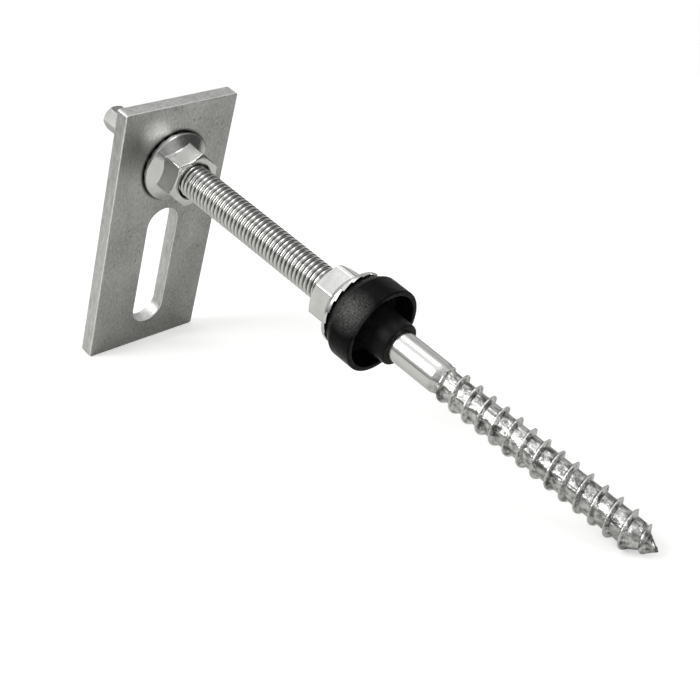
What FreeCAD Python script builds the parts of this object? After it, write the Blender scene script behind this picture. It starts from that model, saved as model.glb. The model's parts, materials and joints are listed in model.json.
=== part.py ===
import FreeCAD, Part
import math
import os
import Sketcher

# A hanger bolt for a roof-mounted solar rail, lying at rest.
# Each piece is modelled along its own Z axis, with X running down the adapter plate. Stations are
# counted along the bolt's axis from the plate's front face, which is the face towards the point.
# The assembly rests on the plate's lower front edge and on the last full crest of the wood thread.

VECTOR = FreeCAD.Vector
ORIGIN = VECTOR(0, 0, 0)
DOWN_THE_PLATE = VECTOR(1, 0, 0)
ACROSS = VECTOR(0, 1, 0)
ALONG_AXIS = VECTOR(0, 0, 1)
ROUND = 360.0
HEX_STEP = 60.0
TOLERANCE = 1e-4
RIDGE_POINTS_PER_TURN = 16

SIZES = [
    # The bolt: a hexagon drive end, a machine thread at its outer size and a plain shank
    ("rod_diameter", 10.0),
    ("drive_flats", 7.0),
    ("drive_length", 8.0),
    ("drive_bevel", 0.7),
    ("drive_turn", 30.0),
    ("rear_length", 29.4),
    ("machine_end", 87.0),
    ("machine_bevel", 0.9),
    ("shank_diameter", 8.9),
    ("shank_end", 108.4),
    ("shank_taper", 2.6),
    # The wood thread and its point
    ("core_diameter", 7.3),
    ("lag_diameter", 10.0),
    ("lag_pitch", 4.5),
    ("lag_start", 108.0),
    ("lag_start_angle", 349.0),
    ("lag_flank_angle", 30.0),
    ("lag_root_depth", 0.1),
    ("lag_run_in", 5.6),
    ("lag_run_out", 1.6),
    ("lag_end_height", 0.12),
    ("point_start", 171.9),
    ("crest_cone_start", 171.3),
    ("point_half_angle", 30.0),
    ("point_flat", 0.3),
    ("lag_end_gap", 0.8),
    # The adapter plate
    ("plate_width", 40.0),
    ("plate_length", 84.0),
    ("plate_thickness", 4.5),
    ("plate_corner", 0.8),
    ("plate_edge_bevel", 0.35),
    ("bolt_to_top", 19.7),
    ("bolt_hole_clearance", 0.5),
    ("slot_width", 11.0),
    ("slot_length", 41.4),
    ("slot_to_bottom", 7.7),
    # The serrated flange nuts
    ("nut_flats", 15.0),
    ("nut_height", 10.0),
    ("flange_diameter", 21.8),
    ("flange_rim", 1.45),
    ("flange_cone_angle", 36.0),
    ("nut_bevel_circle", 15.4),
    ("nut_bevel_angle", 30.0),
    ("nut_bore_clearance", 0.1),
    ("serration_count", 20),
    ("serration_width", 1.7),
    ("serration_depth", 0.5),
    ("serration_inner", 14.6),
    ("plate_nut_turn", 48.0),
    ("outer_nut_turn", 20.0),
    ("seal_nut_turn", 58.4),
    # The rubber seal: a cup with a rim, and a boss round the shank
    ("seal_station", 77.3),
    ("seal_diameter", 24.8),
    ("seal_back_diameter", 20.8),
    ("seal_back_length", 3.0),
    ("seal_length", 10.4),
    ("seal_rim", 1.5),
    ("seal_cup_depth", 6.4),
    ("boss_length", 6.3),
    ("boss_diameter", 12.2),
    ("seal_bore_clearance", 0.1),
    ("seal_step_clearance", 0.4),
]

doc = FreeCAD.newDocument("HangerBolt")
sheet = doc.addObject("Spreadsheet::Sheet", "Sizes")
for row, (alias, value) in enumerate(SIZES, start=1):
    sheet.set(f"A{row}", alias)
    sheet.set(f"B{row}", str(value))
    sheet.setAlias(f"B{row}", alias)
doc.recompute()


class Term:
    """A dimension of the model: its value now, and the same as a formula over the sheet."""

    def __init__(self, value, text):
        self.value = float(value)
        self.text = text

    def __add__(self, other):
        other = as_term(other)
        return Term(self.value + other.value, f"({self.text} + {other.text})")

    def __sub__(self, other):
        other = as_term(other)
        return Term(self.value - other.value, f"({self.text} - {other.text})")

    def __mul__(self, other):
        other = as_term(other)
        return Term(self.value * other.value, f"({self.text} * {other.text})")

    def __truediv__(self, other):
        other = as_term(other)
        return Term(self.value / other.value, f"({self.text} / {other.text})")

    def __neg__(self):
        return Term(-self.value, f"(0 - {self.text})")


def as_term(thing):
    return thing if isinstance(thing, Term) else Term(thing, str(thing))


def cell(alias):
    """A driving dimension, read from the sheet."""
    return Term(getattr(sheet, alias), f"Sizes.{alias}")


def tan_of(angle):
    return Term(math.tan(math.radians(angle.value)), f"tan({angle.text})")


def cos_of(angle):
    return Term(math.cos(math.radians(angle.value)), f"cos({angle.text})")


# Sketching helpers
def origin_feature(body, role):
    return next(item for item in body.Origin.OriginFeatures if item.Role == role)


def new_body(name):
    return doc.addObject("PartDesign::Body", name)


def new_sketch(body, name, plane="XY_Plane"):
    sketch = body.newObject("Sketcher::SketchObject", name)
    sketch.AttachmentSupport = (origin_feature(body, plane), "")
    sketch.MapMode = "FlatFace"
    return sketch


def add_dimension(sketch, kind, arguments, term):
    index = sketch.addConstraint(Sketcher.Constraint(kind, *arguments, term.value))
    sketch.setExpression(f"Constraints[{index}]", term.text)


def hold_point(sketch, geometry, point, across, up):
    """Holds a point at two dimensions from the sketch's origin, or on an axis where one is nought."""
    for kind, axis, term in (("DistanceX", -2, across), ("DistanceY", -1, up)):
        if term.value == 0:
            sketch.addConstraint(Sketcher.Constraint("PointOnObject", geometry, point, axis))
        else:
            add_dimension(sketch, kind, (geometry, point), term)


def draw_outline(sketch, corners):
    """A closed outline of straight lines through the given corners."""
    corners = [(as_term(across), as_term(up)) for across, up in corners]
    points = [VECTOR(across.value, up.value, 0) for across, up in corners]
    ends = points[1:] + points[:1]
    lines = sketch.addGeometry([Part.LineSegment(a, b) for a, b in zip(points, ends)], False)
    for line, following in zip(lines, lines[1:] + lines[:1]):
        sketch.addConstraint(Sketcher.Constraint("Coincident", line, 2, following, 1))
    for line, (across, up) in zip(lines, corners):
        hold_point(sketch, line, 1, across, up)


def draw_circle(sketch, radius, across=0, up=0):
    across, up = as_term(across), as_term(up)
    centre = VECTOR(across.value, up.value, 0)
    circle = sketch.addGeometry(Part.Circle(centre, ALONG_AXIS, radius.value), False)
    hold_point(sketch, circle, 3, across, up)
    add_dimension(sketch, "Radius", (circle,), radius)


def corner_radius(flats):
    """Radius of a hexagon's corners, from its width across flats."""
    return flats / 2 / cos_of(as_term(HEX_STEP / 2))


def draw_hexagon(sketch, flats):
    """A hexagon with two corners on the sketch's X axis."""
    corner = corner_radius(flats)
    half_side = corner / 2
    half_flats = flats / 2
    draw_outline(sketch, [
        (corner, 0),
        (half_side, half_flats),
        (-half_side, half_flats),
        (-corner, 0),
        (-half_side, -half_flats),
        (half_side, -half_flats),
    ])


# Feature helpers
def revolve(body, name, corners, cut=False):
    """Turns an outline in the XZ plane round the body's Z axis, to add or to cut."""
    sketch = new_sketch(body, name + "_profile", "XZ_Plane")
    draw_outline(sketch, corners)
    turned = body.newObject("PartDesign::Groove" if cut else "PartDesign::Revolution", name)
    turned.Profile = sketch
    turned.ReferenceAxis = (sketch, ["V_Axis"])
    turned.Angle = ROUND
    sketch.Visibility = False
    doc.recompute()


def pad(body, name, sketch, length):
    feature = body.newObject("PartDesign::Pad", name)
    feature.Profile = sketch
    feature.setExpression("Length", length.text)
    sketch.Visibility = False
    doc.recompute()
    return feature


def pocket_through(body, name, sketch):
    """Cuts the sketch through the body on the side of the sketch's normal."""
    before = body.Shape.Volume
    feature = body.newObject("PartDesign::Pocket", name)
    feature.Profile = sketch
    feature.Type = "ThroughAll"
    feature.Reversed = True
    sketch.Visibility = False
    doc.recompute()
    if not feature.Shape.Volume < before:
        raise RuntimeError(f"{name} cuts nothing")
    return feature


def edges_where(feature, test):
    """Names of the feature's edges that pass the test."""
    return [f"Edge{i}" for i, edge in enumerate(feature.Shape.Edges, start=1) if test(edge)]


def dress(body, kind, name, base, edges, term):
    """A fillet or chamfer of the named edges."""
    feature = body.newObject(f"PartDesign::{kind}", name)
    feature.Base = (base, edges)
    feature.setExpression("Radius" if kind == "Fillet" else "Size", term.text)
    doc.recompute()
    return feature


def near(value, target):
    return abs(value - target) < TOLERANCE


# The bolt
def bolt_profile():
    """Half outline of the bar from the drive end to the point, without the wood thread."""
    rear = cell("rear_length")
    rod = cell("rod_diameter") / 2
    shank = cell("shank_diameter") / 2
    core = cell("core_diameter") / 2
    flat = cell("point_flat") / 2
    bevel = cell("machine_bevel")
    drive = cell("drive_length")
    point = rear + cell("point_start")
    tip = point + (core - flat) / tan_of(cell("point_half_angle"))
    return [
        (0, drive),
        (rod - bevel, drive),
        (rod, drive + bevel),
        (rod, rear + cell("machine_end")),
        (shank, rear + cell("machine_end") + (rod - shank)),
        (shank, rear + cell("shank_end")),
        (core, rear + cell("shank_end") + cell("shank_taper")),
        (core, point),
        (flat, tip),
        (0, tip),
    ]


def make_bolt_bar():
    body = new_body("BoltBar")
    revolve(body, "Bar", bolt_profile())
    hexagon = new_sketch(body, "Drive_section")
    draw_hexagon(hexagon, cell("drive_flats"))
    turn = FreeCAD.Rotation(ALONG_AXIS, cell("drive_turn").value)
    hexagon.AttachmentOffset = FreeCAD.Placement(ORIGIN, turn)
    pad(body, "Drive", hexagon, cell("drive_length"))
    corner = corner_radius(cell("drive_flats"))
    inner = corner - cell("drive_bevel")
    outer = corner + cell("drive_bevel")
    revolve(body, "Drive_bevel", [
        (inner, 0),
        (outer, 0),
        (outer, cell("drive_bevel") * 2),
    ], cut=True)
    return body


def bar_radius(station):
    """Radius of the bar under the wood thread, at a station."""
    shank = cell("shank_diameter").value / 2
    core = cell("core_diameter").value / 2
    shank_end = cell("shank_end").value
    taper = cell("shank_taper").value
    point = cell("point_start").value
    if station < shank_end:
        return shank
    if station < shank_end + taper:
        return shank + (core - shank) * (station - shank_end) / taper
    if station < point:
        return core
    return core - (station - point) * math.tan(math.radians(cell("point_half_angle").value))


def ease(share):
    """Smooth step from 0 to 1."""
    share = min(max(share, 0.0), 1.0)
    return share * share * (3 - 2 * share)


def lag_end():
    """Station where the wood thread dies out, just short of the tip."""
    core = cell("core_diameter").value / 2
    reach = core / math.tan(math.radians(cell("point_half_angle").value))
    return cell("point_start").value + reach - cell("lag_end_gap").value


def crest_radius(station):
    """Radius of the wood thread's crest, with its run-in, its point and its run-out."""
    full = cell("lag_diameter").value / 2
    fall = math.tan(math.radians(cell("point_half_angle").value))
    envelope = min(full, full - (station - cell("crest_cone_start").value) * fall)
    base = bar_radius(station)
    low = cell("lag_end_height").value
    run_in = ease((station - cell("lag_start").value) / cell("lag_run_in").value)
    run_out = ease((lag_end() - station) / cell("lag_run_out").value)
    return base + low + (envelope - base - low) * run_in * run_out


def ridge_section(station, angle):
    """The thread's section at one place: two points under the bar's surface, and its crest."""
    crest = crest_radius(station)
    root = bar_radius(station) - min(cell("lag_root_depth").value, bar_radius(station) / 2)
    half_root = (crest - root) * math.tan(math.radians(cell("lag_flank_angle").value))
    height = station + cell("rear_length").value
    outward = VECTOR(math.cos(angle), math.sin(angle), 0)
    return [
        outward * root + ALONG_AXIS * (height - half_root),
        outward * crest + ALONG_AXIS * height,
        outward * root + ALONG_AXIS * (height + half_root),
    ]


def ridge_turn(sections):
    """A stretch of the helical ridge, as one solid of ruled flanks between its end sections."""
    steps = [float(i) for i in range(len(sections))]
    rails = []
    for rail_points in zip(*sections):
        curve = Part.BSplineCurve()
        curve.interpolate(Points=list(rail_points), Parameters=steps)
        rails.append(curve.toShape())
    faces = [Part.makeRuledSurface(a, b) for a, b in zip(rails, rails[1:] + rails[:1])]
    for corners in (sections[0], sections[-1]):
        faces.append(Part.Face(Part.makePolygon(corners + corners[:1])))
    shell = Part.makeShell(faces)
    shell.sewShape()
    solid = Part.Solid(Part.Shell(shell.Faces))
    if solid.Volume < 0:
        solid.reverse()
    return solid


def make_lag_turns():
    """The wood thread's ridge, turn by turn, each in a feature of its own."""
    start = cell("lag_start").value
    pitch = cell("lag_pitch").value
    turns = (lag_end() - start) / pitch
    whole_turns = round(turns)
    count = whole_turns * RIDGE_POINTS_PER_TURN
    start_angle = math.radians(cell("lag_start_angle").value)
    sections = []
    for i in range(count + 1):
        turned = turns * i / count
        sections.append(ridge_section(start + pitch * turned, start_angle + 2 * math.pi * turned))
    features = []
    for turn in range(whole_turns):
        first = turn * RIDGE_POINTS_PER_TURN
        feature = doc.addObject("Part::Feature", f"LagTurn{turn + 1:02d}")
        feature.Shape = ridge_turn(sections[first:first + RIDGE_POINTS_PER_TURN + 1])
        features.append(feature)
    return features


def make_bolt():
    bolt = doc.addObject("Part::MultiFuse", "Bolt")
    bolt.Refine = False
    bolt.Shapes = [make_bolt_bar()] + make_lag_turns()
    doc.recompute()
    return bolt


# The adapter plate
def make_plate():
    """The plate in its own frame: X runs down it from the middle of its top edge."""
    body = new_body("Plate")
    outline = new_sketch(body, "Plate_outline")
    half = cell("plate_width") / 2
    draw_outline(outline, [
        (0, -half),
        (cell("plate_length"), -half),
        (cell("plate_length"), half),
        (0, half),
    ])
    sheet_metal = pad(body, "Blank", outline, cell("plate_thickness"))
    upright = edges_where(sheet_metal, lambda edge: near(abs(edge.tangentAt(0).z), 1))
    corners = dress(body, "Fillet", "Corners", sheet_metal, upright, cell("plate_corner"))
    rims = edges_where(corners, lambda edge: near(edge.tangentAt(edge.FirstParameter).z, 0))
    dress(body, "Chamfer", "Edge_bevel", corners, rims, cell("plate_edge_bevel"))

    hole = new_sketch(body, "Bolt_hole_outline")
    hole_radius = cell("rod_diameter") / 2 + cell("bolt_hole_clearance")
    draw_circle(hole, hole_radius, cell("bolt_to_top"))
    pocket_through(body, "Bolt_hole", hole)

    slot = new_sketch(body, "Slot_outline")
    draw_slot(slot)
    pocket_through(body, "Slot", slot)
    return body


def draw_slot(sketch):
    """The rail slot: two half circles joined by straight sides, along the plate's middle line."""
    radius = cell("slot_width") / 2
    lower = cell("plate_length") - cell("slot_to_bottom") - radius
    upper = lower - cell("slot_length") + cell("slot_width")
    centres = (VECTOR(upper.value, 0, 0), VECTOR(lower.value, 0, 0))
    side = VECTOR(0, radius.value, 0)
    quarter = math.pi / 2
    upper_arc, lower_arc, left, right = sketch.addGeometry([
        Part.ArcOfCircle(Part.Circle(centres[0], ALONG_AXIS, radius.value), quarter, 3 * quarter),
        Part.ArcOfCircle(Part.Circle(centres[1], ALONG_AXIS, radius.value), -quarter, quarter),
        Part.LineSegment(centres[0] - side, centres[1] - side),
        Part.LineSegment(centres[1] + side, centres[0] + side),
    ], False)
    for first, first_end, second, second_end in (
        (upper_arc, 2, left, 1),
        (left, 2, lower_arc, 1),
        (lower_arc, 2, right, 1),
        (right, 2, upper_arc, 1),
    ):
        sketch.addConstraint(
            Sketcher.Constraint("Tangent", first, first_end, second, second_end)
        )
    hold_point(sketch, upper_arc, 3, upper, as_term(0))
    hold_point(sketch, lower_arc, 3, lower, as_term(0))
    add_dimension(sketch, "Radius", (upper_arc,), radius)


# The flange nuts
def make_nut(name):
    """A flange nut standing on its serrated face, with its hexagon upwards."""
    body = new_body(name)
    bore = cell("rod_diameter") / 2 + cell("nut_bore_clearance")
    flange = cell("flange_diameter") / 2
    half_flats = cell("nut_flats") / 2
    height = cell("nut_height")
    cone_top = cell("flange_rim") + (flange - half_flats) * tan_of(cell("flange_cone_angle"))
    revolve(body, name + "_flange", [
        (bore, 0),
        (flange, 0),
        (flange, cell("flange_rim")),
        (half_flats, cone_top),
        (bore, cone_top),
    ])
    section = new_sketch(body, name + "_section")
    draw_hexagon(section, cell("nut_flats"))
    draw_circle(section, bore)
    pad(body, name + "_hexagon", section, height)

    bevel_start = cell("nut_bevel_circle") / 2
    beyond = flange
    drop = (beyond - bevel_start) * tan_of(cell("nut_bevel_angle"))
    revolve(body, name + "_bevel", [
        (bevel_start, height),
        (beyond, height),
        (beyond, height - drop),
    ], cut=True)
    cut_serrations(body, name)
    return body


def cut_serrations(body, name):
    """Saw-toothed radial grooves in the flange's bearing face."""
    groove = new_sketch(body, name + "_tooth", "YZ_Plane")
    half_width = cell("serration_width") / 2
    draw_outline(groove, [
        (-half_width, 0),
        (half_width, 0),
        (half_width, cell("serration_depth")),
    ])
    groove.setExpression("AttachmentOffset.Base.z", (cell("serration_inner") / 2).text)
    first = pocket_through(body, name + "_first_groove", groove)
    before = body.Shape.Volume
    pattern = body.newObject("PartDesign::PolarPattern", name + "_serrations")
    pattern.Originals = [first]
    pattern.Axis = (origin_feature(body, "Z_Axis"), [""])
    pattern.Angle = ROUND
    pattern.setExpression("Occurrences", cell("serration_count").text)
    body.Tip = pattern
    doc.recompute()
    if not body.Shape.Volume < before:
        raise RuntimeError(f"{name} has no row of serrations")


# The rubber seal
def make_seal():
    """The seal standing on its back face, with its cup and boss upwards."""
    body = new_body("Seal")
    length = cell("seal_length")
    outer = cell("seal_diameter") / 2
    rim_inner = outer - cell("seal_rim")
    floor = length - cell("seal_cup_depth")
    boss = cell("boss_diameter") / 2
    boss_top = length + cell("boss_length")
    rod = cell("rod_diameter") / 2
    shank = cell("shank_diameter") / 2
    thread_bore = rod + cell("seal_bore_clearance")
    shank_bore = shank + cell("seal_bore_clearance")
    thread_end = cell("machine_end") - cell("seal_station") + (rod - shank)
    step = thread_end + cell("seal_step_clearance")
    revolve(body, "Seal_section", [
        (thread_bore, 0),
        (cell("seal_back_diameter") / 2, 0),
        (outer, cell("seal_back_length")),
        (outer, length),
        (rim_inner, length),
        (rim_inner, floor),
        (boss, floor),
        (boss, boss_top),
        (shank_bore, boss_top),
        (shank_bore, step),
        (thread_bore, step),
    ])
    return body


# How the assembly lies
def plate_below_axis():
    return cell("plate_length").value - cell("bolt_to_top").value


def rest_tilt():
    """Angle of the axis below the level, with the plate's bevelled edge and a crest on the floor."""
    edge_station = cell("plate_edge_bevel").value
    pitch = cell("lag_pitch").value
    station = cell("lag_start").value - pitch * cell("lag_start_angle").value / ROUND
    full_from = cell("lag_start").value + cell("lag_run_in").value
    tilts = []
    while station < lag_end():
        if station > full_from:
            rise = plate_below_axis() - crest_radius(station)
            tilts.append(math.atan2(rise, station + edge_station))
        station += pitch
    return min(tilts)


def rest_height(tilt):
    """Height of the axis over the floor, at the plate's front face."""
    return plate_below_axis() * math.cos(tilt) - cell("plate_edge_bevel").value * math.sin(tilt)


def axis_placement(tilt, forward):
    """Frame of the bolt's axis at the plate's front face."""
    lean = FreeCAD.Rotation(ACROSS, 90 + math.degrees(tilt))
    return FreeCAD.Placement(VECTOR(forward, 0, rest_height(tilt)), lean)


def shifted(station, across=ORIGIN):
    return FreeCAD.Placement(ALONG_AXIS * station + across, FreeCAD.Rotation())


def turned_by(angle):
    return FreeCAD.Placement(ORIGIN, FreeCAD.Rotation(ALONG_AXIS, angle))


def facing_back():
    return FreeCAD.Placement(ORIGIN, FreeCAD.Rotation(DOWN_THE_PLATE, 180))


def own_placements():
    """Where each piece sits along the bolt, before the whole is laid down."""
    top_edge = DOWN_THE_PLATE * -cell("bolt_to_top").value
    thickness = cell("plate_thickness").value
    nut_turn = cell("plate_nut_turn").value
    outer_turn = cell("outer_nut_turn").value
    seal_turn = cell("seal_nut_turn").value
    seal = cell("seal_station").value
    return {
        "hanger_bolt": shifted(-cell("rear_length").value),
        "adapter_plate": shifted(-thickness, top_edge),
        "plate_nut_inner": turned_by(nut_turn),
        "plate_nut_outer": shifted(-thickness) * turned_by(outer_turn) * facing_back(),
        "seal_nut": shifted(seal) * turned_by(seal_turn) * facing_back(),
        "roof_seal": shifted(seal),
    }


def lay_down(pieces):
    """Places every piece at rest, with the whole centred over the origin along X."""
    tilt = rest_tilt()
    places = own_placements()
    for name, piece in pieces.items():
        piece.Placement = axis_placement(tilt, 0) * places[name]
    doc.recompute()
    boxes = [piece.Shape.optimalBoundingBox(False, False) for piece in pieces.values()]
    middle = (min(box.XMin for box in boxes) + max(box.XMax for box in boxes)) / 2
    for name, piece in pieces.items():
        piece.Placement = axis_placement(tilt, -middle) * places[name]
    doc.recompute()
    print(f"tilt {math.degrees(tilt):.3f} degrees, axis at x {-middle:.3f} z {rest_height(tilt):.3f}")


def check(pieces):
    for item in doc.Objects:
        if {"Invalid", "Error"} & set(item.State):
            raise RuntimeError(f"{item.Name} failed to build: {item.State}")
    for name, piece in pieces.items():
        if piece.Shape.isNull() or not piece.Shape.isValid():
            raise RuntimeError(f"{name} has no valid shape")
        if len(piece.Shape.Solids) != 1:
            raise RuntimeError(f"{name} isn't one solid")


def write(pieces):
    os.makedirs("parts", exist_ok=True)
    for name, piece in pieces.items():
        piece.Label = name
        piece.Shape.exportStep(f"parts/{name}.step")


pieces = {
    "hanger_bolt": make_bolt(),
    "adapter_plate": make_plate(),
    "plate_nut_inner": make_nut("InnerNut"),
    "plate_nut_outer": make_nut("OuterNut"),
    "seal_nut": make_nut("SealNut"),
    "roof_seal": make_seal(),
}
lay_down(pieces)
check(pieces)
write(pieces)
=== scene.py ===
import json
import math

import bmesh
import bpy
from mathutils import Matrix, Quaternion, Vector
from mathutils.geometry import tessellate_polygon


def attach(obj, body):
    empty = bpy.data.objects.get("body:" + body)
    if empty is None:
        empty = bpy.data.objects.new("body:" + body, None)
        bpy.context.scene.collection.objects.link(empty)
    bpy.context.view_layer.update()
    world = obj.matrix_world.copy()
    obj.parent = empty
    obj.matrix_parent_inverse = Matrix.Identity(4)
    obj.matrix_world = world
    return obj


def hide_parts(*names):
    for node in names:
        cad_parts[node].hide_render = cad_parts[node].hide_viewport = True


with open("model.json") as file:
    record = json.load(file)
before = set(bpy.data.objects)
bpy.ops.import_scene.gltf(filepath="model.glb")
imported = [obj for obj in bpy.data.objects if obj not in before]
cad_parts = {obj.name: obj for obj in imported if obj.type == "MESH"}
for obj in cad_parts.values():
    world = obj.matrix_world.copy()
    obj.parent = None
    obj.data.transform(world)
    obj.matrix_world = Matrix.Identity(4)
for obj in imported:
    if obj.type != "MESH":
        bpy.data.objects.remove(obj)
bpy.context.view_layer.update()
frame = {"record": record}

# The pieces are built in the bolt's own frame and laid down by one matrix: X runs down the adapter
# plate, Y across it and Z along the bolt. Stations are counted along the bolt in metres from the
# plate's front face. The sizes of round things are radii.
MM = 0.001
FULL_TURN = 2 * math.pi
HALF_TURN = FULL_TURN / 2
QUARTER_TURN = FULL_TURN / 4
HEX_STEP = math.radians(60)
MERGE_DISTANCE = 1e-7
STATION_OF_WOOD_MOUNT = 140 * MM
ACROSS = Vector((0, 1, 0))


def lying_frame():
    """Turns the bolt's own frame into the world's, from the wood thread's mount."""
    wood = next(item for item in frame["record"]["mounts"] if item["name"] == "wood_thread")
    along = Vector(wood["axis"]).normalized()
    down = ACROSS.cross(along)
    origin = Vector(wood["pos_m"]) - along * STATION_OF_WOOD_MOUNT
    turn = Matrix((down, ACROSS, along)).transposed()
    return Matrix.Translation(origin) @ turn.to_4x4()


LYING = lying_frame()

# The bolt's bar and its machine thread
ROD = 5.0 * MM
ROD_BEVEL = 0.9 * MM
DRIVE_END = -21.4 * MM
MACHINE_END = 87.0 * MM
MACHINE_PITCH = 1.5 * MM
MACHINE_DEPTH = 0.92 * MM
MACHINE_SPARE_TURNS = 2
SHANK = 4.45 * MM
SHANK_END = 108.4 * MM
SHANK_TAPER = 2.6 * MM
BOLT_COLUMNS = 72
BOLT_SHARP_ANGLE = math.radians(28)

# One turn of the machine thread: distances along in pitches, and depths in the thread's own depth
MACHINE_PROFILE = [
    (-0.27, 0.36),
    (-0.18, 0.12),
    (-0.07, 0.0),
    (0.07, 0.0),
    (0.18, 0.12),
    (0.27, 0.36),
    (0.42, 0.92),
    (0.50, 1.0),
    (0.58, 0.92),
]

# The bolt's hexagon drive
REAR = -29.4 * MM
DRIVE_FLATS = 7.0 * MM
DRIVE_TURN = math.radians(30)
DRIVE_BEVEL = 0.7 * MM
DRIVE_LEAST_BEVEL = 0.12 * MM
DRIVE_FACE_SHARE = 0.97
DRIVE_FACE_ROUND = 0.06 * MM
DRIVE_INTO_ROD = 0.3 * MM

# The bolt's wood thread and point
CORE = 3.65 * MM
LAG_CREST = 5.0 * MM
LAG_PITCH = 4.5 * MM
LAG_START = 108.0 * MM
LAG_START_ANGLE = math.radians(349)
LAG_RUN_IN = 5.6 * MM
LAG_RUN_OUT = 1.6 * MM
LAG_LOW = 0.12 * MM
LAG_FLANK = math.tan(math.radians(30))
POINT_START = 171.9 * MM
POINT_SLOPE = math.tan(math.radians(30))
POINT_FLAT = 0.15 * MM
CREST_CONE_START = 171.3 * MM
LAG_END_GAP = 0.8 * MM
LAG_SPARE_TURNS = 3
TIP = POINT_START + (CORE - POINT_FLAT) / POINT_SLOPE
LAG_END = POINT_START + CORE / POINT_SLOPE - LAG_END_GAP

# Places of the points across one turn of the wood thread, in pitches from its crest
CREST_HALF = 0.028
WOOD_OFFSETS = [-0.5, -0.36, -0.25, -0.2, -0.16, -0.12, -0.08, -0.045, -CREST_HALF,
                CREST_HALF, 0.045, 0.08, 0.12, 0.16, 0.2, 0.25, 0.36]

# The adapter plate
PLATE_WIDTH = 40.0 * MM
PLATE_LENGTH = 84.0 * MM
PLATE_THICKNESS = 4.5 * MM
PLATE_CORNER = 0.8 * MM
PLATE_ROUND = 0.4 * MM
BOLT_TO_TOP = 19.7 * MM
BOLT_HOLE = 5.5 * MM
SLOT_WIDTH = 11.0 * MM
SLOT_LENGTH = 41.4 * MM
SLOT_TO_BOTTOM = 7.7 * MM
CORNER_STEPS = 8
SLOT_STEPS = 32
EDGE_STEPS = 4
PLATE_SHARP_ANGLE = math.radians(40)

# The flange nuts
NUT_FLATS = 15.0 * MM
NUT_HEIGHT = 10.0 * MM
NUT_BORE = 5.05 * MM
NUT_COUNTERSINK = 0.9 * MM
NUT_BEVEL_CIRCLE = 7.15 * MM
NUT_BEVEL_SLOPE = math.tan(math.radians(30))
NUT_ROUND = 0.18 * MM
NUT_EDGE_ROUND = 0.5 * MM
NUT_EDGE_STEPS = [math.radians(step) for step in (-1.8, -1.2, -0.6, 0.6, 1.2, 1.8)]
NUT_COLUMNS = 120
NUT_SHARP_ANGLE = math.radians(34)
FLANGE = 10.9 * MM
FLANGE_RIM = 1.45 * MM
FLANGE_SLOPE = math.tan(math.radians(36))
TEETH = 20
TOOTH_DEPTH = 0.5 * MM
TEETH_INNER = 7.3 * MM
TEETH_RISE = 0.5 * MM
STEP_AT_TOOTH = math.radians(0.3)

# The rubber seal
SEAL_STATION = 77.3 * MM
SEAL = 12.4 * MM
SEAL_LENGTH = 10.4 * MM
SEAL_BACK = 10.4 * MM
SEAL_BACK_LENGTH = 3.0 * MM
SEAL_BACK_ROUND = 0.5 * MM
SEAL_RIM = 1.5 * MM
SEAL_RIM_ROUND = 0.45 * MM
SEAL_LIP = 0.05 * MM
SEAL_LIP_ROUND = 0.3 * MM
SEAL_CUP_DEPTH = 6.4 * MM
SEAL_CUP_DRAFT = 0.5 * MM
SEAL_CUP_ROUND = 1.1 * MM
BOSS = 6.1 * MM
BOSS_LENGTH = 6.3 * MM
BOSS_FOOT = 0.45 * MM
BOSS_ROUND = 0.55 * MM
SEAL_BORE = 4.47 * MM
SEAL_BORE_ROUND = 0.25 * MM
SEAL_BORE_STEP_GAP = 0.4 * MM
SEAL_THREAD_GAP = 0.1 * MM
SEAL_ROUND_STEPS = 5
SEAL_COLUMNS = 144
SEAL_SHARP_ANGLE = math.radians(50)

# Each nut's node, the station of its bearing face, its turn, and whether it faces the drive end
NUTS = [
    ("plate_nut_inner", 0, math.radians(48), False),
    ("plate_nut_outer", -PLATE_THICKNESS, math.radians(20), True),
    ("seal_nut", SEAL_STATION, math.radians(58.4), True),
]

# Tones of the finishes, from black at 0 to white at 1
BAR_TONES = (0.68, 0.80)
DRIVE_TONE = 0.42
# Machine thread tones at root and crest; the dark root is painted shade
MACHINE_ROOT_SHADE_TONES = (0.15, 0.76)
WOOD_TONES = (0.12, 0.72)
# The wood thread's crest tone, lighter than its core: a painted highlight along the crests
WOOD_CREST_HIGHLIGHT_TONE = 0.68
NUT_TONES = (0.66, 0.78)
# The tone in each nut's mouth round the thread: painted shade
MOUTH_SHADE_TONE = 0.03
PLATE_TONES = (0.32, 0.50)
BRUSHED_TONE = 0.28
GRAIN_TONE = 0.74
PIT_TONE = 0.17
# The dark patch beside the nut: partly staining, partly painted shade
STAIN_AND_SHADE_TONE = 0.16
# Tone of the painted highlight beside the nut
PAINTED_HIGHLIGHT_TONE = 0.9
# Tone of the painted contact shadow round each flange on the plate
RING_SHADOW_TONE = 0.04
SIDE_TONES = (0.53, 0.72)
WORN_TONE = 0.95
RUBBER_TONES = (0.0015, 0.014)
# Tone of the painted highlight on the seal's outer side
SHEEN_HIGHLIGHT_TONE = 0.15
WARMTH = 0.975

# Places and reaches of what the finishes show
THREAD_END_FADE = 0.4 * MM
DRIVE_FADE = 0.3 * MM
MACHINE_CREST_DROP = 0.1 * MM
WOOD_CREST_DROPS = (0.4 * MM, 0.12 * MM)
MOUTH_EDGE = 0.4 * MM
# Width of the painted contact shadow round the flange
RING_SHADOW_BAND = (0.2 * MM, 1.1 * MM)
# Place and reach of the dark patch beside the nut, partly staining and partly painted shade
STAIN_AND_SHADE_PLACE = (-8.5 * MM, -14.5 * MM, 0)
STAIN_AND_SHADE_REACH = 12 * MM
# Place and reach of the painted highlight beside the nut
PAINTED_HIGHLIGHT_PLACE = (-12 * MM, -6.5 * MM, 0)
PAINTED_HIGHLIGHT_REACH = 8 * MM
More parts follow.
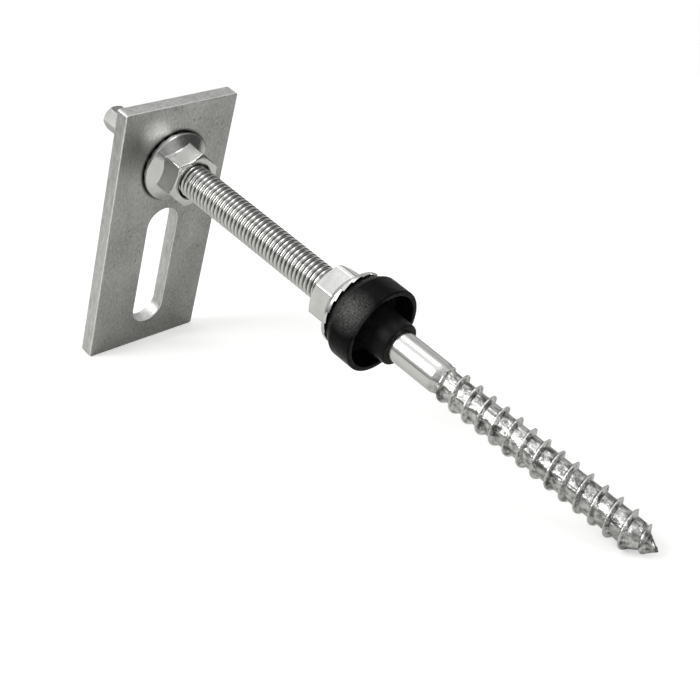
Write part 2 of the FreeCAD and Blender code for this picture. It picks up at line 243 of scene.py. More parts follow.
# Place and reach of the painted highlight on the seal's outer side
SHEEN_HIGHLIGHT_ANGLE = math.radians(235)
SHEEN_HIGHLIGHT_STATION = SEAL_STATION + 6 * MM
SHEEN_HIGHLIGHT_REACH = 7 * MM

# The camera
CAMERA_PLACE = Vector((0.23426, -0.23880, 0.16587))
CAMERA_TARGET = Vector((0.00493, -0.00374, 0.02566))
CAMERA_ROLL = math.radians(-0.16)
CAMERA_LENS = 70.1
CAMERA_SENSOR = 36.0
CAMERA_CLIP_START = 0.01

# The studio's room, its tones as (height, tone) from the horizon at 0 to overhead at 1
ROOM_TONES = [(0.0, 0.14), (0.12, 0.38), (0.36, 0.68), (0.68, 0.44), (0.86, 0.6), (0.92, 1.0)]
DARK_SIDE = (0.58, 0.78, -0.23)
DARK_FROM = 0.55
DARK_TO = 0.85
DARK_TONE = 0.06
FILL_STRENGTH = 0.5

# Each softbox's place, its two sides in metres, and its power in watts
SOFTBOXES = {
    "key": ((-0.27, -0.72, 0.69), (0.6, 0.66), 5.2),
    "top": ((-0.11, 0.14, 1.0), (0.26, 0.26), 0.4),
    "front": ((0.74, 0.17, 0.62), (0.3, 0.3), 1.0),
}
SOFTBOX_AIM = Vector((0, 0, 0.03))

# The floor
FLOOR_TONE = 0.8
FLOOR_ROUGHNESS = 0.9
FLOOR_LIFT = 0.46
FLOOR_FADE = 0.22
FLOOR_EDGE = 0.62
FLOOR_SEGMENTS = 96


# Mesh helpers
def merge(bm):
    bmesh.ops.remove_doubles(bm, verts=bm.verts, dist=MERGE_DISTANCE)
    bmesh.ops.dissolve_degenerate(bm, edges=bm.edges, dist=MERGE_DISTANCE)


def add_piece(node, bm, material, sharp_angle):
    """Turns a bmesh in the bolt's frame into a piece that stands for a node of the part."""
    merge(bm)
    bmesh.ops.recalc_face_normals(bm, faces=bm.faces)
    name = node + "_finish"
    mesh = bpy.data.meshes.new(name)
    bm.to_mesh(mesh)
    bm.free()
    mesh.transform(LYING)
    mesh.shade_smooth()
    mesh.set_sharp_from_angle(angle=sharp_angle)
    mesh.materials.append(material)
    piece = bpy.data.objects.new(name, mesh)
    bpy.context.collection.objects.link(piece)
    weighted = piece.modifiers.new("flat_faces_stay_flat", "WEIGHTED_NORMAL")
    weighted.keep_sharp = True
    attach(piece, "root")
    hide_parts(node)


def polar(angle, radius, height):
    return Vector((radius * math.cos(angle), radius * math.sin(angle), height))


def join_columns(bm, columns, closed_section, offset=0):
    """Faces between neighbouring columns of vertices, round the axis and back to the first.

    The last column meets the first one offset rows further on.
    """
    rows = len(columns[0])
    for i, column in enumerate(columns):
        last = i == len(columns) - 1
        following = columns[0] if last else columns[i + 1]
        shift = offset if last else 0
        for row in range(rows if closed_section else rows - 1):
            above = (row + 1) % rows
            low, high = row - shift, above - shift
            if low >= 0 and high >= 0:
                bm.faces.new((column[row], column[above], following[high], following[low]))


def turned(bm, angles, section, closed_section=True, place=Matrix.Identity(4)):
    """A ring or a bar whose section at each angle is a list of radii and heights."""
    columns = [
        [bm.verts.new(place @ polar(angle, *point)) for point in section(angle)]
        for angle in angles
    ]
    join_columns(bm, columns, closed_section)


def even_angles(count, start=0.0):
    return [start + FULL_TURN * i / count for i in range(count)]


def ease(share):
    """A share from 0 to 1 that starts and ends gently."""
    share = min(max(share, 0.0), 1.0)
    return share * share * (3 - 2 * share)


def rounded(corners, steps):
    """An outline in which each corner (radius, height, round) is replaced by a short arc."""
    outline = []
    count = len(corners)
    for i, (radius, height, fillet) in enumerate(corners):
        here = Vector((radius, height))
        if fillet == 0:
            outline.append(here)
            continue
        before = (Vector(corners[i - 1][:2]) - here).normalized()
        after = (Vector(corners[(i + 1) % count][:2]) - here).normalized()
        for k in range(steps + 1):
            share = k / steps
            start = before * fillet * (1 - share) ** 2
            end = after * fillet * share ** 2
            outline.append(here + start + end)
    return outline


def hexagon_radius(angle, flats, corner_at=0.0):
    """Distance from the centre to a hexagon's side, with one corner at the given angle."""
    within = (angle - corner_at) % HEX_STEP - HEX_STEP / 2
    return flats / 2 / math.cos(within)


def hexagon_corner(flats):
    return flats / 2 / math.cos(HEX_STEP / 2)


# The bolt
def machine_column(angle):
    """Radii and stations of the machine thread at one angle, from the drive end's shoulder.

    Spare turns run past both ends, and their points are gathered on the end that they pass.
    """
    first = DRIVE_END - MACHINE_PITCH * MACHINE_SPARE_TURNS
    turns = math.ceil((MACHINE_END - first) / MACHINE_PITCH) + MACHINE_SPARE_TURNS
    lead = MACHINE_PITCH * angle / FULL_TURN
    points = []
    for turn in range(turns):
        for along, depth in MACHINE_PROFILE:
            station = first + lead + MACHINE_PITCH * (turn + along)
            bevel = ROD - ROD_BEVEL + (station - DRIVE_END)
            if station <= DRIVE_END:
                points.append((ROD - MACHINE_DEPTH, DRIVE_END))
            elif station >= MACHINE_END:
                points.append((SHANK, MACHINE_END))
            else:
                points.append((min(ROD - MACHINE_DEPTH * depth, bevel), station))
    return points


def bar_radius(station):
    """Radius of the bar under the wood thread."""
    if station < SHANK_END:
        return SHANK
    if station < SHANK_END + SHANK_TAPER:
        return SHANK + (CORE - SHANK) * (station - SHANK_END) / SHANK_TAPER
    if station < POINT_START:
        return CORE
    return max(CORE - (station - POINT_START) * POINT_SLOPE, POINT_FLAT)


def crest_radius(station):
    """Radius of the wood thread's crest, with its run-in, its cone at the point and its run-out."""
    envelope = min(LAG_CREST, LAG_CREST - (station - CREST_CONE_START) * POINT_SLOPE)
    base = bar_radius(station)
    run_in = ease((station - LAG_START) / LAG_RUN_IN)
    run_out = ease((LAG_END - station) / LAG_RUN_OUT)
    return base + LAG_LOW * run_out + max(envelope - base - LAG_LOW, 0) * run_in * run_out


def wood_column(angle):
    """Radii and stations of the shank, the wood thread and the point at one angle.

    Here too, the points of spare turns are gathered on the end that they pass.
    """
    lead = LAG_PITCH * ((angle - LAG_START_ANGLE) / FULL_TURN)
    turns = math.ceil((TIP - MACHINE_END) / LAG_PITCH) + LAG_SPARE_TURNS
    first = LAG_START - LAG_PITCH * math.ceil((LAG_START - MACHINE_END) / LAG_PITCH + 1)
    points = []
    for turn in range(turns):
        centre = first + lead + LAG_PITCH * turn
        crest = crest_radius(centre)
        threaded = LAG_START <= centre <= LAG_END
        for offset in WOOD_OFFSETS:
            station = min(max(centre + offset * LAG_PITCH, MACHINE_END), TIP)
            base = bar_radius(station)
            away = max(abs(station - centre) - CREST_HALF * LAG_PITCH, 0)
            ridge = crest - away / LAG_FLANK
            points.append((max(base, ridge) if threaded else base, station))
    return points


def add_threaded(bm, column_at, rows_a_turn):
    """A threaded surface whose rows follow the helix: its last column meets the first a turn on."""
    columns = [
        [bm.verts.new(polar(angle, *point)) for point in column_at(angle)]
        for angle in even_angles(BOLT_COLUMNS)
    ]
    join_columns(bm, columns, closed_section=False, offset=rows_a_turn)


def close_ends(bm):
    """Closes the ring at each open end of the bar with a flat face."""
    merge(bm)
    rim = [edge for edge in bm.edges if edge.is_boundary]
    bmesh.ops.holes_fill(bm, edges=rim, sides=0)


def drive_section(angle):
    """The hexagon drive's section at one angle, from its bevelled end face into the rod."""
    side = hexagon_radius(angle, DRIVE_FLATS, DRIVE_TURN)
    face = min(hexagon_corner(DRIVE_FLATS) - DRIVE_BEVEL, side)
    return [
        (0, REAR),
        (face * DRIVE_FACE_SHARE, REAR),
        (face, REAR + DRIVE_FACE_ROUND),
        (side, REAR + max(side - face, DRIVE_LEAST_BEVEL)),
        (side, DRIVE_END + DRIVE_INTO_ROD),
        (0, DRIVE_END + DRIVE_INTO_ROD),
    ]


def build_bolt(material):
    """The threaded bar as one closed body, and the hexagon drive let into its end."""
    bm = bmesh.new()
    add_threaded(bm, machine_column, len(MACHINE_PROFILE))
    add_threaded(bm, wood_column, len(WOOD_OFFSETS))
    close_ends(bm)
    turned(bm, even_angles(BOLT_COLUMNS, DRIVE_TURN), drive_section, closed_section=False)
    add_piece("hanger_bolt", bm, material, BOLT_SHARP_ANGLE)


# The flange nuts
def tooth_at(angle):
    """Height of the saw-toothed bearing face: it climbs along each tooth and steps back."""
    tooth = FULL_TURN / TEETH
    return TOOTH_DEPTH * (angle % tooth) / tooth


def nut_angles():
    """Even columns, with one more before each tooth's step and six round each corner's edge."""
    angles = even_angles(NUT_COLUMNS)
    angles += [FULL_TURN * i / TEETH - STEP_AT_TOOTH for i in range(TEETH)]
    angles += [HEX_STEP * i + step for i in range(6) for step in NUT_EDGE_STEPS]
    return sorted(angle % FULL_TURN for angle in angles)


def nut_side(angle):
    """Distance to the hexagon's side, with a small round along each upright edge."""
    from_corner = (angle + HEX_STEP / 2) % HEX_STEP - HEX_STEP / 2
    centre = hexagon_corner(NUT_FLATS) - NUT_EDGE_ROUND / math.cos(HEX_STEP / 2)
    reach = NUT_EDGE_ROUND ** 2 - (centre * math.sin(from_corner)) ** 2
    side = hexagon_radius(angle, NUT_FLATS)
    if reach < 0:
        return side
    return min(side, centre * math.cos(from_corner) + math.sqrt(reach))


def nut_section(angle):
    """The nut's section at one angle, from the bearing face round to the bore.

    Each edge is softened by two or three points, set off from it by shares of the nut's round.
    """
    side = nut_side(angle)
    shoulder = NUT_HEIGHT - (side - NUT_BEVEL_CIRCLE) * NUT_BEVEL_SLOPE
    cone = FLANGE_RIM + (FLANGE - side) * FLANGE_SLOPE
    tooth = tooth_at(angle)
    mouth = NUT_BORE + NUT_COUNTERSINK
    soft = NUT_ROUND
    bearing_face = [
        (NUT_BORE, tooth * 0.1),
        (TEETH_INNER, tooth * 0.1),
        (TEETH_INNER + TEETH_RISE, tooth * 0.7),
    ]
    flange_rim = [
        (FLANGE - 2 * soft, tooth),
        (FLANGE - 0.3 * soft, tooth + 0.4 * soft),
        (FLANGE, tooth + 1.4 * soft),
        (FLANGE, FLANGE_RIM - soft),
        (FLANGE - 0.4 * soft, FLANGE_RIM),
        (FLANGE - 1.4 * soft, FLANGE_RIM + 1.4 * soft * FLANGE_SLOPE),
    ]
    hexagon = [
        (side + 2 * soft, cone - 2 * soft * FLANGE_SLOPE),
        (side + 0.3 * soft, cone + 0.2 * soft),
        (side, cone + 1.4 * soft),
        (side, shoulder - soft),
        (side - 0.4 * soft, shoulder),
    ]
    top = [
        (NUT_BEVEL_CIRCLE + 0.25 * soft, NUT_HEIGHT - 0.25 * soft * NUT_BEVEL_SLOPE),
        (NUT_BEVEL_CIRCLE - 0.6 * soft, NUT_HEIGHT),
        (mouth + 0.3 * soft, NUT_HEIGHT),
        (mouth - 0.3 * soft, NUT_HEIGHT - 0.3 * soft),
        (NUT_BORE, NUT_HEIGHT - NUT_COUNTERSINK),
    ]
    return bearing_face + flange_rim + hexagon + top


def build_nut(node, material, station, turn, faces_back):
    place = Matrix.Translation((0, 0, station)) @ Matrix.Rotation(turn, 4, "Z")
    if faces_back:
        place = place @ Matrix.Rotation(HALF_TURN, 4, "X")
    bm = bmesh.new()
    turned(bm, nut_angles(), nut_section, place=place)
    add_piece(node, bm, material, NUT_SHARP_ANGLE)


# The rubber seal
def seal_corners():
    """Corners of the seal's section as (radius, height, round), from its back round to its bore."""
    cup = SEAL - SEAL_RIM
    floor = SEAL_LENGTH - SEAL_CUP_DEPTH
    top = SEAL_LENGTH + BOSS_LENGTH
    thread_bore = ROD + SEAL_THREAD_GAP
    step = MACHINE_END - SEAL_STATION + (ROD - SHANK) + SEAL_BORE_STEP_GAP
    return [
        (thread_bore, 0, 0),
        (SEAL_BACK, 0, SEAL_BACK_ROUND),
        (SEAL, SEAL_BACK_LENGTH, SEAL_BACK_ROUND),
        (SEAL, SEAL_LENGTH, SEAL_RIM_ROUND),
        (cup + SEAL_LIP, SEAL_LENGTH, SEAL_LIP_ROUND),
        (cup - SEAL_CUP_DRAFT, floor, SEAL_CUP_ROUND),
        (BOSS + BOSS_FOOT, floor, SEAL_CUP_ROUND),
        (BOSS, top, BOSS_ROUND),
        (SEAL_BORE, top, SEAL_BORE_ROUND),
        (SEAL_BORE, step, 0),
        (thread_bore, step, 0),
    ]


def build_seal(material):
    outline = [tuple(point) for point in rounded(seal_corners(), SEAL_ROUND_STEPS)]
    place = Matrix.Translation((0, 0, SEAL_STATION))
    bm = bmesh.new()
    turned(bm, even_angles(SEAL_COLUMNS), lambda angle: outline, place=place)
    add_piece("roof_seal", bm, material, SEAL_SHARP_ANGLE)


# The adapter plate
def arc(centre, radius, start, steps, sweep):
    return [
        (centre[0] + radius * math.cos(start + sweep * k / steps),
         centre[1] + radius * math.sin(start + sweep * k / steps))
        for k in range(steps + 1)
    ]


def plate_outline(inset):
    """The plate's outline with round corners, drawn in by the inset."""
    low, high = PLATE_CORNER - BOLT_TO_TOP, PLATE_LENGTH - BOLT_TO_TOP - PLATE_CORNER
    side = PLATE_WIDTH / 2 - PLATE_CORNER
    centres = [(high, side), (low, side), (low, -side), (high, -side)]
    points = []
    for i, centre in enumerate(centres):
        points += arc(centre, PLATE_CORNER - inset, QUARTER_TURN * i, CORNER_STEPS, QUARTER_TURN)
    return points


def slot_outline(inset):
    """The slot's outline, drawn out by the inset."""
    radius = SLOT_WIDTH / 2
    low = PLATE_LENGTH - BOLT_TO_TOP - SLOT_TO_BOTTOM - radius
    high = low - SLOT_LENGTH + SLOT_WIDTH
    return (arc((low, 0), radius + inset, -QUARTER_TURN, SLOT_STEPS, HALF_TURN)
            + arc((high, 0), radius + inset, QUARTER_TURN, SLOT_STEPS, HALF_TURN))


def hole_outline(inset):
    """The bolt hole's outline, drawn out by the inset."""
    return arc((0, 0), BOLT_HOLE + inset, 0, 2 * SLOT_STEPS, FULL_TURN)[:-1]


def edge_rows():
    """Insets and heights of the rounded edge, from the front face to the back."""
    front = []
    for k in range(EDGE_STEPS + 1):
        turn = QUARTER_TURN * k / EDGE_STEPS
        front.append((PLATE_ROUND * (1 - math.sin(turn)), -PLATE_ROUND * (1 - math.cos(turn))))
    back = [(inset, -PLATE_THICKNESS - height) for inset, height in reversed(front)]
    return front + back


def build_plate(material):
    """The plate between its flat faces, with the bolt hole and the slot, and round edges."""
    bm = bmesh.new()
    fronts, backs = [], []
    for outline in (plate_outline, slot_outline, hole_outline):
        rings = [
            [bm.verts.new((*point, height)) for point in outline(inset)]
            for inset, height in edge_rows()
        ]
        columns = [list(column) for column in zip(*rings)]
        join_columns(bm, columns, closed_section=False)
        fronts.append(rings[0])
        backs.append(rings[-1])
    for loops in (fronts, backs):
        corners = [vertex for loop in loops for vertex in loop]
        outlines = [[vertex.co for vertex in loop] for loop in loops]
        for triangle in tessellate_polygon(outlines):
            bm.faces.new([corners[i] for i in triangle])
    add_piece("adapter_plate", bm, material, PLATE_SHARP_ANGLE)


# Colours and node trees
def grey(tone):
    """A grey as warm as the photographed steel's."""
    return (tone, tone, tone * WARMTH, 1)


def neutral(tone):
    return (tone, tone, tone, 1)


class Graph:
    """A node tree, with short calls for what the finishes and the studio share."""

    def __init__(self, tree):
        self.tree = tree

    def add(self, kind, **settings):
        node = self.tree.nodes.new(kind)
        for key, value in settings.items():
            setattr(node, key, value)
        return node

    def feed(self, target, source):
        """Links an input to another node's output, or gives it a plain value."""
        if isinstance(source, bpy.types.NodeSocket):
            self.tree.links.new(source, target)
        else:
            target.default_value = source

    def maths(self, operation, *values):
        node = self.add("ShaderNodeMath", operation=operation)
        for target, value in zip(node.inputs, values):
            self.feed(target, value)
        return node.outputs["Value"]

    def measured(self, operation, *vectors):
        """The number that a Vector Math operation gives, such as a length or a dot product."""
        node = self.add("ShaderNodeVectorMath", operation=operation)
        for target, vector in zip(node.inputs, vectors):
            self.feed(target, vector)
        return node.outputs["Value"]

    def ranged(self, source, low, high, from_low=0.3, from_high=0.7):
        """The source spread over new limits, from noise's usual range unless another is given."""
        spread = self.add("ShaderNodeMapRange")
        self.feed(spread.inputs["Value"], source)
        spread.inputs["From Min"].default_value = from_low
        spread.inputs["From Max"].default_value = from_high
        spread.inputs["To Min"].default_value = low
        spread.inputs["To Max"].default_value = high
        return spread.outputs["Result"]

    def rising(self, source, start, end):
        """0 up to the start, 1 from the end on, and even between them."""
        return self.ranged(source, 0.0, 1.0, start, end)

    def falling(self, source, start, end):
        """1 up to the start, 0 from the end on, and even between them."""
        return self.ranged(source, 1.0, 0.0, start, end)

    def blended(self, factor, first, second):
        """A mix of two colours, each given as an output, a colour or a tone of grey."""
        mix = self.add("ShaderNodeMix", data_type="RGBA")
        self.feed(mix.inputs["Factor"], factor)
        colours = [socket for socket in mix.inputs if socket.type == "RGBA"]
        for target, source in zip(colours, (first, second)):
            self.feed(target, grey(source) if isinstance(source, float) else source)
        return next(socket for socket in mix.outputs if socket.type == "RGBA")


class Finish(Graph):
    """A material's node tree, whose textures lie in the bolt's own frame."""

    def __init__(self, name):
        self.material = bpy.data.materials.new(name)
        self.material.use_nodes = True
        super().__init__(self.material.node_tree)
        self.shader = self.tree.nodes["Principled BSDF"]
        place = self.add("ShaderNodeMapping", vector_type="TEXTURE")
        place.inputs["Location"].default_value = LYING.to_translation()
        place.inputs["Rotation"].default_value = LYING.to_euler()
        self.feed(place.inputs["Vector"], self.coordinates("Object"))
        self.place = place.outputs["Vector"]

    def coordinates(self, name):
        return self.add("ShaderNodeTexCoord").outputs[name]

    def give(self, name, source):
        """Sets an input of the shader."""
        self.feed(self.shader.inputs[name], source)

    def noise(self, scale, detail=3.0, roughness=0.55, distortion=0.0):
        """Noise over the object; scale is given per metre along each axis."""
        mapping = self.add("ShaderNodeMapping")
        self.feed(mapping.inputs["Vector"], self.place)
        mapping.inputs["Scale"].default_value = scale
        texture = self.add("ShaderNodeTexNoise")
        self.feed(texture.inputs["Vector"], mapping.outputs["Vector"])
        texture.inputs["Scale"].default_value = 1.0
        texture.inputs["Detail"].default_value = detail
        texture.inputs["Roughness"].default_value = roughness
        texture.inputs["Distortion"].default_value = distortion
        return texture.outputs["Fac"]

    def patch(self, place, reach, strength):
        """A soft round spot on the surface, by its place in the bolt's frame."""
        away = self.measured("DISTANCE", self.place, place)
        return self.ranged(away, strength, 0.0, 0.0, reach)

    def radius_and_station(self):
        """Distance from the bolt's axis, and distance along it."""
        parts = self.add("ShaderNodeSeparateXYZ")
        self.feed(parts.inputs["Vector"], self.place)
        flattened = self.add("ShaderNodeCombineXYZ")
        self.feed(flattened.inputs["X"], parts.outputs["X"])
        self.feed(flattened.inputs["Y"], parts.outputs["Y"])
        return self.measured("LENGTH", flattened.outputs["Vector"]), parts.outputs["Z"]

    def add_bumps(self, *layers):
        """Bumps from layers of (height, depth, strength), one over the other."""
        normal = None
        for height, depth, strength in layers:
            bump = self.add("ShaderNodeBump")
            self.feed(bump.inputs["Height"], height)
            bump.inputs["Distance"].default_value = depth
            bump.inputs["Strength"].default_value = strength
            if normal is not None:
                self.feed(bump.inputs["Normal"], normal)
            normal = bump.outputs["Normal"]
        self.give("Normal", normal)


# The finishes
def bolt_material():
    """Bright rolled steel with painted shade in the machine thread's roots, and a mottled, dented
    wood thread with a painted highlight along its crests.
    """
    steel = Finish("bolt_steel_finish")
    drawn = steel.noise((5200, 5200, 160), detail=4)
    dents = steel.noise((900, 900, 420), detail=3, roughness=0.5, distortion=0.6)
    mottle = steel.noise((620, 620, 380), detail=3)
    cloud = steel.noise((160, 160, 90), detail=2)

    radius, station = steel.radius_and_station()
    in_drive = steel.falling(station, DRIVE_END, DRIVE_END + DRIVE_FADE)
    past_drive = steel.rising(station, DRIVE_END + ROD_BEVEL, DRIVE_END + 2 * ROD_BEVEL)
    before_shank = steel.falling(station, MACHINE_END, MACHINE_END + THREAD_END_FADE)
    in_machine = steel.maths("MULTIPLY", before_shank, past_drive)
    in_wood = steel.rising(station, LAG_START, SHANK_END + SHANK_TAPER)
    machine_crest = steel.rising(radius, ROD - MACHINE_DEPTH, ROD - MACHINE_CREST_DROP)
    wood_crest = steel.rising(radius, *(LAG_CREST - drop for drop in WOOD_CREST_DROPS))

    bright = steel.blended(steel.ranged(cloud, 0.0, 1.0), *BAR_TONES)
    plain = steel.blended(in_drive, bright, DRIVE_TONE)
    # Painted shade: the machine thread darkens from its crest into its root
    machine = steel.blended(machine_crest, *MACHINE_ROOT_SHADE_TONES)
    core = steel.blended(steel.rising(mottle, 0.36, 0.62), *WOOD_TONES)
    # Painted highlight: the wood thread's crests are lighter than its core
    wood = steel.blended(wood_crest, core, WOOD_CREST_HIGHLIGHT_TONE)
    bar = steel.blended(in_machine, plain, machine)
    steel.give("Base Color", steel.blended(in_wood, bar, wood))

    smooth = steel.ranged(drawn, 0.15, 0.27)
    uneven = steel.ranged(mottle, 0.26, 0.10)
    roughness = steel.add("ShaderNodeMix")
    for name, source in (("Factor", in_wood), ("A", smooth), ("B", uneven)):
        steel.feed(roughness.inputs[name], source)
    steel.give("Roughness", roughness.outputs["Result"])
    steel.give("Metallic", 1.0)
    wood_dents = steel.maths("MULTIPLY", dents, in_wood)
    steel.add_bumps((drawn, 0.012 * MM, 0.3), (wood_dents, 0.35 * MM, 0.8))
    return steel.material


def nut_material():
    """Bright pressed steel with faint forming marks, and painted shade in the mouth round the
    thread.
    """
    steel = Finish("nut_steel_finish")
    cloud = steel.noise((210, 210, 210), detail=3)
    marks = steel.noise((1900, 1900, 1900), detail=4)
    radius, _ = steel.radius_and_station()
    # Painted shade: the nut goes dark in its mouth round the thread
    mouth_shade = steel.falling(radius, NUT_BORE + MOUTH_EDGE, NUT_BORE + NUT_COUNTERSINK)
    bright = steel.blended(steel.ranged(cloud, 0.0, 1.0), *NUT_TONES)
    steel.give("Base Color", steel.blended(mouth_shade, bright, MOUTH_SHADE_TONE))
    steel.give("Roughness", steel.ranged(marks, 0.12, 0.24))
    steel.give("Metallic", 1.0)
    steel.add_bumps((cloud, 0.2 * MM, 0.35), (marks, 0.03 * MM, 0.4))
    return steel.material


def plate_face(steel, cloud, brushed, grain):
    """The plate's faces: cloudy brushed steel with bright grains and faint pits.

    A dark patch beside the nut, partly staining and partly painted shade, a painted highlight next
    to it, and a painted contact shadow as a dark ring round its flange.
    """
    pits = steel.noise((620, 900, 900), detail=2, roughness=0.4)
    patched = steel.blended(steel.rising(cloud, 0.34, 0.62), *PLATE_TONES)
    lined = steel.blended(steel.ranged(brushed, 0.0, 0.5), patched, BRUSHED_TONE)
    grained = steel.blended(steel.ranged(grain, 0.0, 0.55, 0.45, 0.68), lined, GRAIN_TONE)
    pitted = steel.blended(steel.ranged(pits, 0.0, 0.6, 0.63, 0.75), grained, PIT_TONE)
    # Partly staining, partly painted shade: a dark patch beside the nut
    stain_and_shade = steel.patch(STAIN_AND_SHADE_PLACE, STAIN_AND_SHADE_REACH, 0.9)
    stained_and_shaded = steel.blended(stain_and_shade, pitted, STAIN_AND_SHADE_TONE)
    # Painted highlight: a grainy light patch beside the nut
    painted_highlight = steel.patch(PAINTED_HIGHLIGHT_PLACE, PAINTED_HIGHLIGHT_REACH, 0.9)
    grainy_highlight = steel.maths("MULTIPLY", painted_highlight, steel.ranged(grain, 0.2, 1.0))
    highlighted = steel.blended(grainy_highlight, stained_and_shaded, PAINTED_HIGHLIGHT_TONE)
    radius, _ = steel.radius_and_station()
    # Painted contact shadow: a dark ring round the nut's flange
    ring = steel.falling(radius, *(FLANGE + reach for reach in RING_SHADOW_BAND))
    return steel.blended(ring, highlighted, RING_SHADOW_TONE)


def plate_material():
    """Mid-grey brushed faces, with scuffed, lighter sides and bright, worn edges."""
    steel = Finish("plate_steel_finish")
    brushed = steel.noise((500, 5200, 5200), detail=4)
    cloud = steel.noise((42, 60, 60), detail=4, roughness=0.6, distortion=0.4)
    grain = steel.noise((900, 1500, 1500), detail=5, roughness=0.75)
    scuffs = steel.noise((260, 700, 700), detail=4, roughness=0.7)

    out_of_face = steel.measured("DOT_PRODUCT", steel.coordinates("Normal"), LYING.col[2][:3])
    facing = steel.maths("ABSOLUTE", out_of_face)
    off_face = steel.falling(facing, 0.6, 0.97)
    on_round = steel.rising(facing, 0.1, 0.4)
    edge = steel.maths("MULTIPLY", off_face, on_round)
    worn = steel.maths("MULTIPLY", edge, steel.ranged(grain, 0.3, 1.0))

    face = plate_face(steel, cloud, brushed, grain)
    side = steel.blended(steel.rising(scuffs, 0.38, 0.62), *SIDE_TONES)
    sided = steel.blended(off_face, face, side)
    steel.give("Base Color", steel.blended(worn, sided, WORN_TONE))
    steel.give("Metallic", steel.ranged(worn, 1.0, 0.1, 0.0, 0.6))
    steel.give("Roughness", steel.ranged(cloud, 0.44, 0.32))
    steel.add_bumps((brushed, 0.06 * MM, 0.7), (grain, 0.15 * MM, 0.4))
    return steel.material


def rubber_material():
    """Black moulded rubber, a shade lighter inside, with a speckled painted highlight on its outer
    side.
    """
    rubber = Finish("seal_rubber_finish")
    mottle = rubber.noise((420, 420, 420), detail=4, roughness=0.6)
    grain = rubber.noise((3800, 3800, 3800), detail=3)
    radius, _ = rubber.radius_and_station()
    inside = rubber.falling(radius, SEAL - 2 * SEAL_RIM, SEAL)
    inner = rubber.maths("MULTIPLY", inside, rubber.ranged(mottle, 0.4, 1.0))
    tone = rubber.blended(inner, *RUBBER_TONES)
    # Painted highlight: a speckled light patch on the seal's outer side
    spot = rubber.patch(polar(SHEEN_HIGHLIGHT_ANGLE, SEAL, SHEEN_HIGHLIGHT_STATION), SHEEN_HIGHLIGHT_REACH, 1.3)
    painted_sheen = rubber.maths("MULTIPLY", spot, rubber.rising(grain, 0.35, 0.65))
    rubber.give("Base Color", rubber.blended(painted_sheen, tone, SHEEN_HIGHLIGHT_TONE))
    rubber.give("Roughness", rubber.ranged(mottle, 0.32, 0.18))
    rubber.give("Metallic", 0.0)
    rubber.give("Specular IOR Level", 0.06)
    rubber.add_bumps((mottle, 0.4 * MM, 0.5), (grain, 0.08 * MM, 0.6))
    return rubber.material


# The studio
def look_at(place, target):
    return (target - place).to_track_quat("-Z", "Y")


def add_camera():
    data = bpy.data.cameras.new("photo_camera")
    data.lens = CAMERA_LENS
    data.sensor_width = CAMERA_SENSOR
    data.clip_start = CAMERA_CLIP_START
    camera = bpy.data.objects.new("photo_camera", data)
    camera.location = CAMERA_PLACE
    camera.rotation_mode = "QUATERNION"
    roll = Quaternion((0, 0, 1), CAMERA_ROLL)
    camera.rotation_quaternion = look_at(CAMERA_PLACE, CAMERA_TARGET) @ roll
    bpy.context.collection.objects.link(camera)
    bpy.context.scene.camera = camera


def add_softbox(name, place, size, power):
    data = bpy.data.lights.new(name, "AREA")
    data.shape = "RECTANGLE"
    data.size, data.size_y = size
    data.energy = power
    light = bpy.data.objects.new(name, data)
    light.location = place
    light.rotation_mode = "QUATERNION"
    light.rotation_quaternion = look_at(Vector(place), SOFTBOX_AIM)
    bpy.context.collection.objects.link(light)


def room_colour(studio):
    """The room that steel reflects: grey walls over a dark skirting, with one dark side."""
    direction = studio.add("ShaderNodeTexCoord").outputs["Generated"]
    height = studio.add("ShaderNodeSeparateXYZ")
    studio.feed(height.inputs["Vector"], direction)
    ramp = studio.add("ShaderNodeValToRGB")
    studio.feed(ramp.inputs["Fac"], height.outputs["Z"])
    stops = ramp.color_ramp.elements
    while len(stops) < len(ROOM_TONES):
        stops.new(1.0)
    for stop, (position, tone) in zip(stops, ROOM_TONES):
        stop.position = position
        stop.color = neutral(tone)
    towards = studio.measured("DOT_PRODUCT", direction, DARK_SIDE)
    shade = studio.rising(towards, DARK_FROM, DARK_TO)
    return studio.blended(shade, ramp.outputs["Color"], neutral(DARK_TONE))


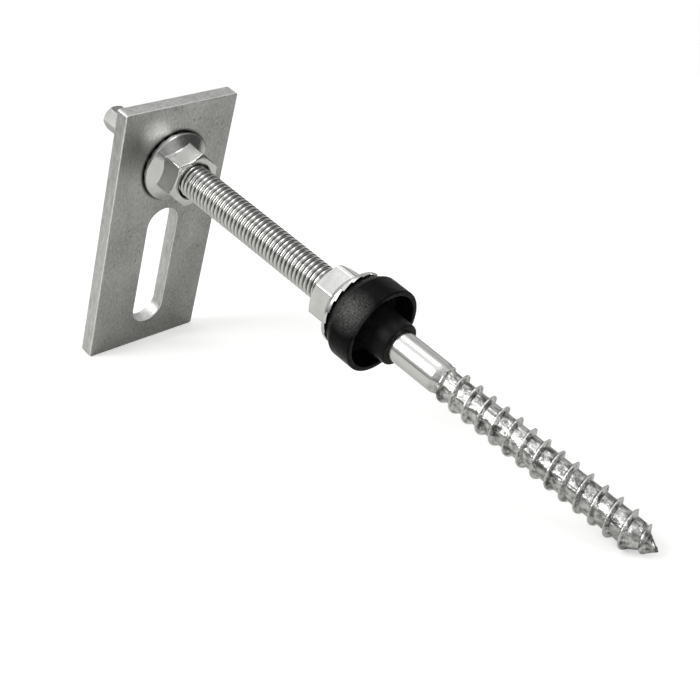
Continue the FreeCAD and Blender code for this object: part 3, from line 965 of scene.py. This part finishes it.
def add_world():
    """White where it is seen, a dim fill as light, and a grey room in reflections."""
    world = bpy.data.worlds.new("studio")
    bpy.context.scene.world = world
    world.use_nodes = True
    studio = Graph(world.node_tree)
    rays = studio.add("ShaderNodeLightPath").outputs
    seen = rays["Is Camera Ray"]
    for name in ("Is Glossy Ray", "Is Transmission Ray"):
        seen = studio.maths("MAXIMUM", seen, rays[name])
    colour = studio.blended(rays["Is Glossy Ray"], neutral(1), room_colour(studio))
    shown = studio.add("ShaderNodeBackground")
    studio.feed(shown.inputs["Color"], colour)
    fill = studio.tree.nodes["Background"]
    studio.feed(fill.inputs["Color"], neutral(1))
    studio.feed(fill.inputs["Strength"], FILL_STRENGTH)
    mix = studio.add("ShaderNodeMixShader")
    studio.feed(mix.inputs["Fac"], seen)
    studio.feed(mix.inputs[1], fill.outputs["Background"])
    studio.feed(mix.inputs[2], shown.outputs["Background"])
    studio.feed(studio.tree.nodes["World Output"].inputs["Surface"], mix.outputs["Shader"])


def paper_material():
    """Matt paper, lifted to white for the camera, that fades to nothing at the floor's edge."""
    paper = Finish("floor_paper")
    paper.give("Base Color", grey(FLOOR_TONE))
    paper.give("Roughness", FLOOR_ROUGHNESS)
    paper.give("Specular IOR Level", 0.0)
    seen = paper.add("ShaderNodeLightPath").outputs["Is Camera Ray"]
    lift = paper.add("ShaderNodeEmission")
    paper.feed(lift.inputs["Color"], neutral(1))
    paper.feed(lift.inputs["Strength"], paper.maths("MULTIPLY", seen, FLOOR_LIFT))
    lifted = paper.add("ShaderNodeAddShader")
    paper.feed(lifted.inputs[0], paper.shader.outputs["BSDF"])
    paper.feed(lifted.inputs[1], lift.outputs["Emission"])
    clear = paper.add("ShaderNodeBsdfTransparent")
    distance = paper.measured("LENGTH", paper.coordinates("Object"))
    fade = paper.add("ShaderNodeMixShader")
    paper.feed(fade.inputs["Fac"], paper.rising(distance, FLOOR_FADE, FLOOR_EDGE))
    paper.feed(fade.inputs[1], lifted.outputs["Shader"])
    paper.feed(fade.inputs[2], clear.outputs["BSDF"])
    paper.feed(paper.tree.nodes["Material Output"].inputs["Surface"], fade.outputs["Shader"])
    return paper.material


def add_floor():
    """A pale round floor that keeps the shadow and fades out into the white all round."""
    bm = bmesh.new()
    bmesh.ops.create_circle(bm, cap_ends=True, radius=FLOOR_EDGE, segments=FLOOR_SEGMENTS)
    mesh = bpy.data.meshes.new("floor")
    bm.to_mesh(mesh)
    bm.free()
    mesh.materials.append(paper_material())
    floor = bpy.data.objects.new("floor", mesh)
    bpy.context.collection.objects.link(floor)


def build_object():
    nut_steel = nut_material()
    build_bolt(bolt_material())
    build_plate(plate_material())
    for node, station, turn, faces_back in NUTS:
        build_nut(node, nut_steel, station, turn, faces_back)
    build_seal(rubber_material())


def build_studio():
    add_camera()
    add_world()
    add_floor()
    for name, (place, size, power) in SOFTBOXES.items():
        add_softbox(name, place, size, power)
    bpy.context.scene.view_settings.view_transform = "Standard"


build_object()
build_studio()
